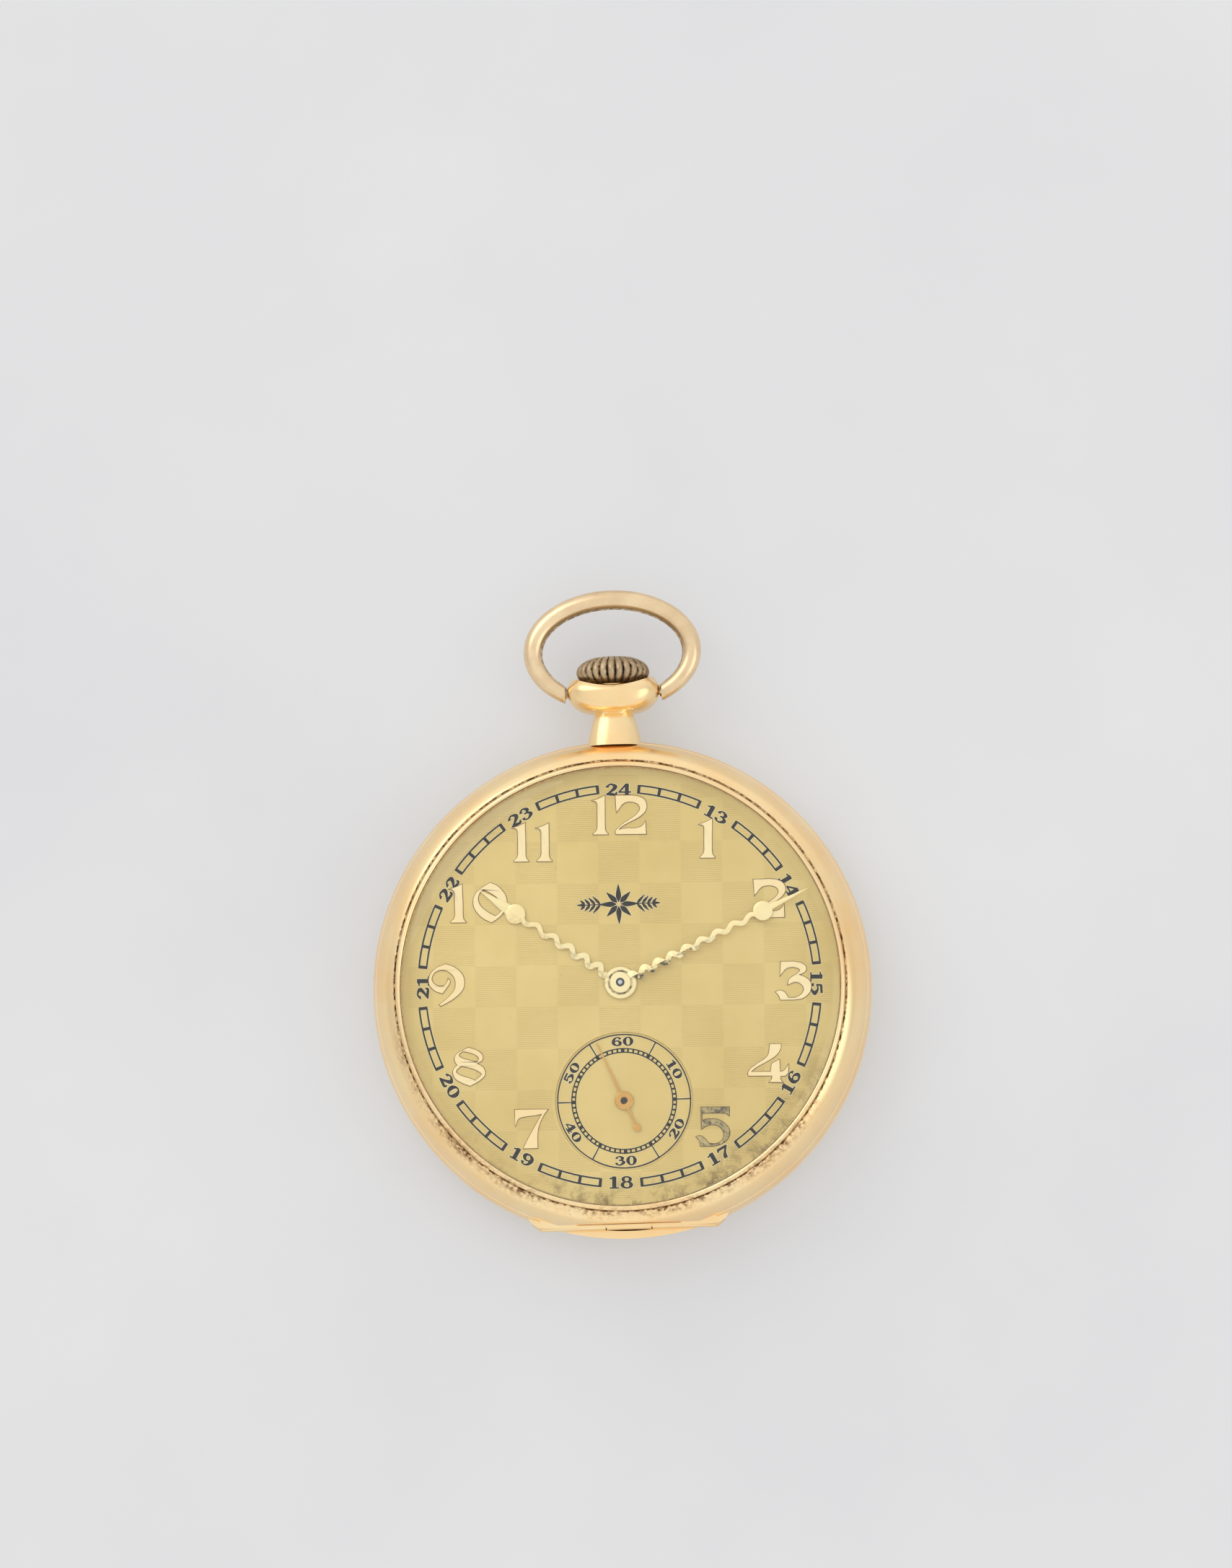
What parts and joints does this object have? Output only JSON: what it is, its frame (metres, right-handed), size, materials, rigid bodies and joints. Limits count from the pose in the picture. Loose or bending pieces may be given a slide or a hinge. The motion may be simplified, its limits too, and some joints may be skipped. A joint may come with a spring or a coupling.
{
  "type": "open face pocket watch",
  "caption": "Open face pocket watch with hinged rear cover and cuvette, crown, bow, small seconds dial and a complete hand-wound lever movement.",
  "frame": {"origin": "middle of the flat disc on the rear cover that the watch rests on, under the middle of the case", "axes": "+Z out through the dial and crystal, +Y towards 12 o'clock, the crown and the bow, +X towards 3 o'clock"},
  "size_m": [0.048, 0.0626, 0.01],
  "materials": {
    "case_gold": "polished rose-yellow gold plate, lightly worn",
    "pale_gold": "polished pale gold plate, worn and grimy in the grooves",
    "dial_gold": "matt gilt dial, engine turned in a check",
    "hand_gold": "bright gilt",
    "crystal_glass": "clear, polished",
    "wheel_brass": "gilt brass",
    "nickel_plate": "nickel plated, striped",
    "polished_steel": "polished steel",
    "spring_steel": "blued spring steel",
    "ruby": "polished synthetic ruby"
  },
  "bodies": {
    "case": {"case_band": "case_gold", "bezel": "case_gold", "crystal": "crystal_glass", "cover_hinge_pin": "case_gold", "cuvette_hinge_pin": "case_gold", "dial": "dial_gold", "main_plate": "nickel_plate", "barrel_bridge": "nickel_plate", "train_bridge": "nickel_plate", "balance_cock": "nickel_plate", "pallet_bridge": "nickel_plate", "centre_jewel": "ruby", "third_jewel": "ruby", "fourth_jewel": "ruby", "escape_jewel": "ruby", "balance_jewel": "ruby", "barrel_bridge_screw_left": "polished_steel", "barrel_bridge_screw_right": "polished_steel", "train_bridge_screw_right": "polished_steel", "train_bridge_screw_bottom": "polished_steel", "balance_cock_screw": "polished_steel", "crown_wheel_screw": "polished_steel", "case_screw_1": "polished_steel", "case_screw_2": "polished_steel"},
    "rear_cover": {"rear_cover": "case_gold"},
    "cuvette": {"cuvette": "case_gold"},
    "bow": {"bow": "pale_gold"},
    "winding_pinion": {"winding_pinion": "polished_steel"},
    "crown": {"crown": "pale_gold", "winding_stem": "polished_steel"},
    "sliding_pinion": {"sliding_pinion": "polished_steel"},
    "setting_lever": {"setting_lever": "polished_steel"},
    "crown_wheel": {"crown_wheel": "polished_steel"},
    "ratchet": {"ratchet_wheel": "polished_steel", "barrel_arbor": "polished_steel", "ratchet_screw": "polished_steel"},
    "click": {"click": "polished_steel"},
    "barrel": {"barrel": "wheel_brass", "barrel_lid": "wheel_brass", "mainspring": "spring_steel"},
    "centre": {"centre_wheel": "wheel_brass", "cannon_pinion": "polished_steel", "minute_hand": "hand_gold"},
    "third": {"third_wheel": "wheel_brass"},
    "seconds": {"fourth_wheel": "wheel_brass", "second_hand": "hand_gold"},
    "escape": {"escape_wheel": "polished_steel"},
    "pallets": {"pallet_fork": "polished_steel"},
    "balance": {"balance_wheel": "wheel_brass", "hairspring": "spring_steel"},
    "regulator": {"regulator": "polished_steel"},
    "motion": {"minute_wheel": "wheel_brass"},
    "hours": {"hour_wheel": "wheel_brass", "hour_hand": "hand_gold"}
  },
  "joints": [
    {"name": "cover_open", "type": "hinge", "parent": "case", "child": "rear_cover", "pos_m": [0, -0.02265, 0.0046], "axis": [-1, 0, 0], "range_deg": [0, 95]},
    {"name": "cuvette_open", "type": "hinge", "parent": "case", "child": "cuvette", "pos_m": [0, -0.0216, 0.00305], "axis": [-1, 0, 0], "range_deg": [0, 86]},
    {"name": "bow_swing", "type": "hinge", "parent": "case", "child": "bow", "pos_m": [0, 0.02875, 0.0049], "axis": [1, 0, 0], "range_deg": [-100, 100]},
    {"name": "crown_turn", "type": "hinge", "parent": "case", "child": "winding_pinion", "pos_m": [0, 0.018, 0.0049], "axis": [0, 1, 0], "continuous": true},
    {"name": "crown_pull", "type": "slide", "parent": "winding_pinion", "child": "crown", "axis": [0, 1, 0], "range_m": [0, 0.0012]},
    {"name": "sliding_pinion_shift", "type": "slide", "parent": "winding_pinion", "child": "sliding_pinion", "axis": [0, 1, 0], "range_m": [-0.0009, 0]},
    {"name": "setting_lever_swing", "type": "hinge", "parent": "case", "child": "setting_lever", "pos_m": [0.0034, 0.0164, 0.0067], "axis": [0, 0, 1], "range_deg": [-15, 0]},
    {"name": "crown_wheel_turn", "type": "hinge", "parent": "case", "child": "crown_wheel", "pos_m": [0, 0.0141, 0.0022], "axis": [0, 0, 1], "continuous": true},
    {"name": "ratchet_turn", "type": "hinge", "parent": "case", "child": "ratchet", "pos_m": [0.00492, 0.00621, 0.0022], "axis": [0, 0, 1], "continuous": true},
    {"name": "click_lift", "type": "hinge", "parent": "case", "child": "click", "pos_m": [0.01252, 0.00621, 0.0022], "axis": [0, 0, 1], "range_deg": [-8, 0], "stiffness_Nm_per_rad": 0.00002},
    {"name": "second_hand_turn", "type": "hinge", "parent": "case", "child": "seconds", "pos_m": [0, -0.011, 0.0041], "axis": [0, 0, 1], "continuous": true},
    {"name": "minute_hand_turn", "type": "hinge", "parent": "case", "child": "centre", "pos_m": [0, 0.00035, 0.0037], "axis": [0, 0, 1], "continuous": true},
    {"name": "hour_hand_turn", "type": "hinge", "parent": "case", "child": "hours", "pos_m": [0, 0.00035, 0.0069], "axis": [0, 0, 1], "continuous": true},
    {"name": "minute_wheel_turn", "type": "hinge", "parent": "case", "child": "motion", "pos_m": [0.00144, 0.00284, 0.00665], "axis": [0, 0, 1], "continuous": true},
    {"name": "third_wheel_turn", "type": "hinge", "parent": "case", "child": "third", "pos_m": [0.0035, -0.00619, 0.0046], "axis": [0, 0, 1], "continuous": true},
    {"name": "barrel_turn", "type": "hinge", "parent": "case", "child": "barrel", "pos_m": [0.00492, 0.00621, 0.005], "axis": [0, 0, 1], "continuous": true},
    {"name": "escape_wheel_turn", "type": "hinge", "parent": "case", "child": "escape", "pos_m": [-0.00505, -0.01284, 0.0047], "axis": [0, 0, 1], "continuous": true},
    {"name": "pallet_swing", "type": "hinge", "parent": "case", "child": "pallets", "pos_m": [-0.0083, -0.01096, 0.0047], "axis": [0, 0, 1], "range_deg": [-4, 4]},
    {"name": "balance_swing", "type": "hinge", "parent": "case", "child": "balance", "pos_m": [-0.01065, -0.00761, 0.0036], "axis": [0, 0, 1], "range_deg": [-270, 270], "stiffness_Nm_per_rad": 0.00000055},
    {"name": "regulator_shift", "type": "hinge", "parent": "case", "child": "regulator", "pos_m": [-0.01065, -0.00761, 0.0022], "axis": [0, 0, 1], "range_deg": [-15, 15]}
  ],
  "couplings": [
    {"joint": "cuvette_open", "follows": "cover_open", "ratio": 0.9},
    {"joint": "sliding_pinion_shift", "follows": "crown_pull", "ratio": -0.75},
    {"joint": "setting_lever_swing", "follows": "crown_pull", "rad_per_m": -203.62},
    {"joint": "crown_wheel_turn", "follows": "crown_turn", "ratio": -0.46667},
    {"joint": "ratchet_turn", "follows": "crown_turn", "ratio": 0.4},
    {"joint": "minute_hand_turn", "follows": "second_hand_turn", "ratio": 0.016667},
    {"joint": "hour_hand_turn", "follows": "second_hand_turn", "ratio": 0.0013889},
    {"joint": "minute_wheel_turn", "follows": "second_hand_turn", "ratio": -0.0055556},
    {"joint": "third_wheel_turn", "follows": "second_hand_turn", "ratio": -0.13333},
    {"joint": "barrel_turn", "follows": "second_hand_turn", "ratio": -0.0020833},
    {"joint": "escape_wheel_turn", "follows": "second_hand_turn", "ratio": -10}
  ]
}
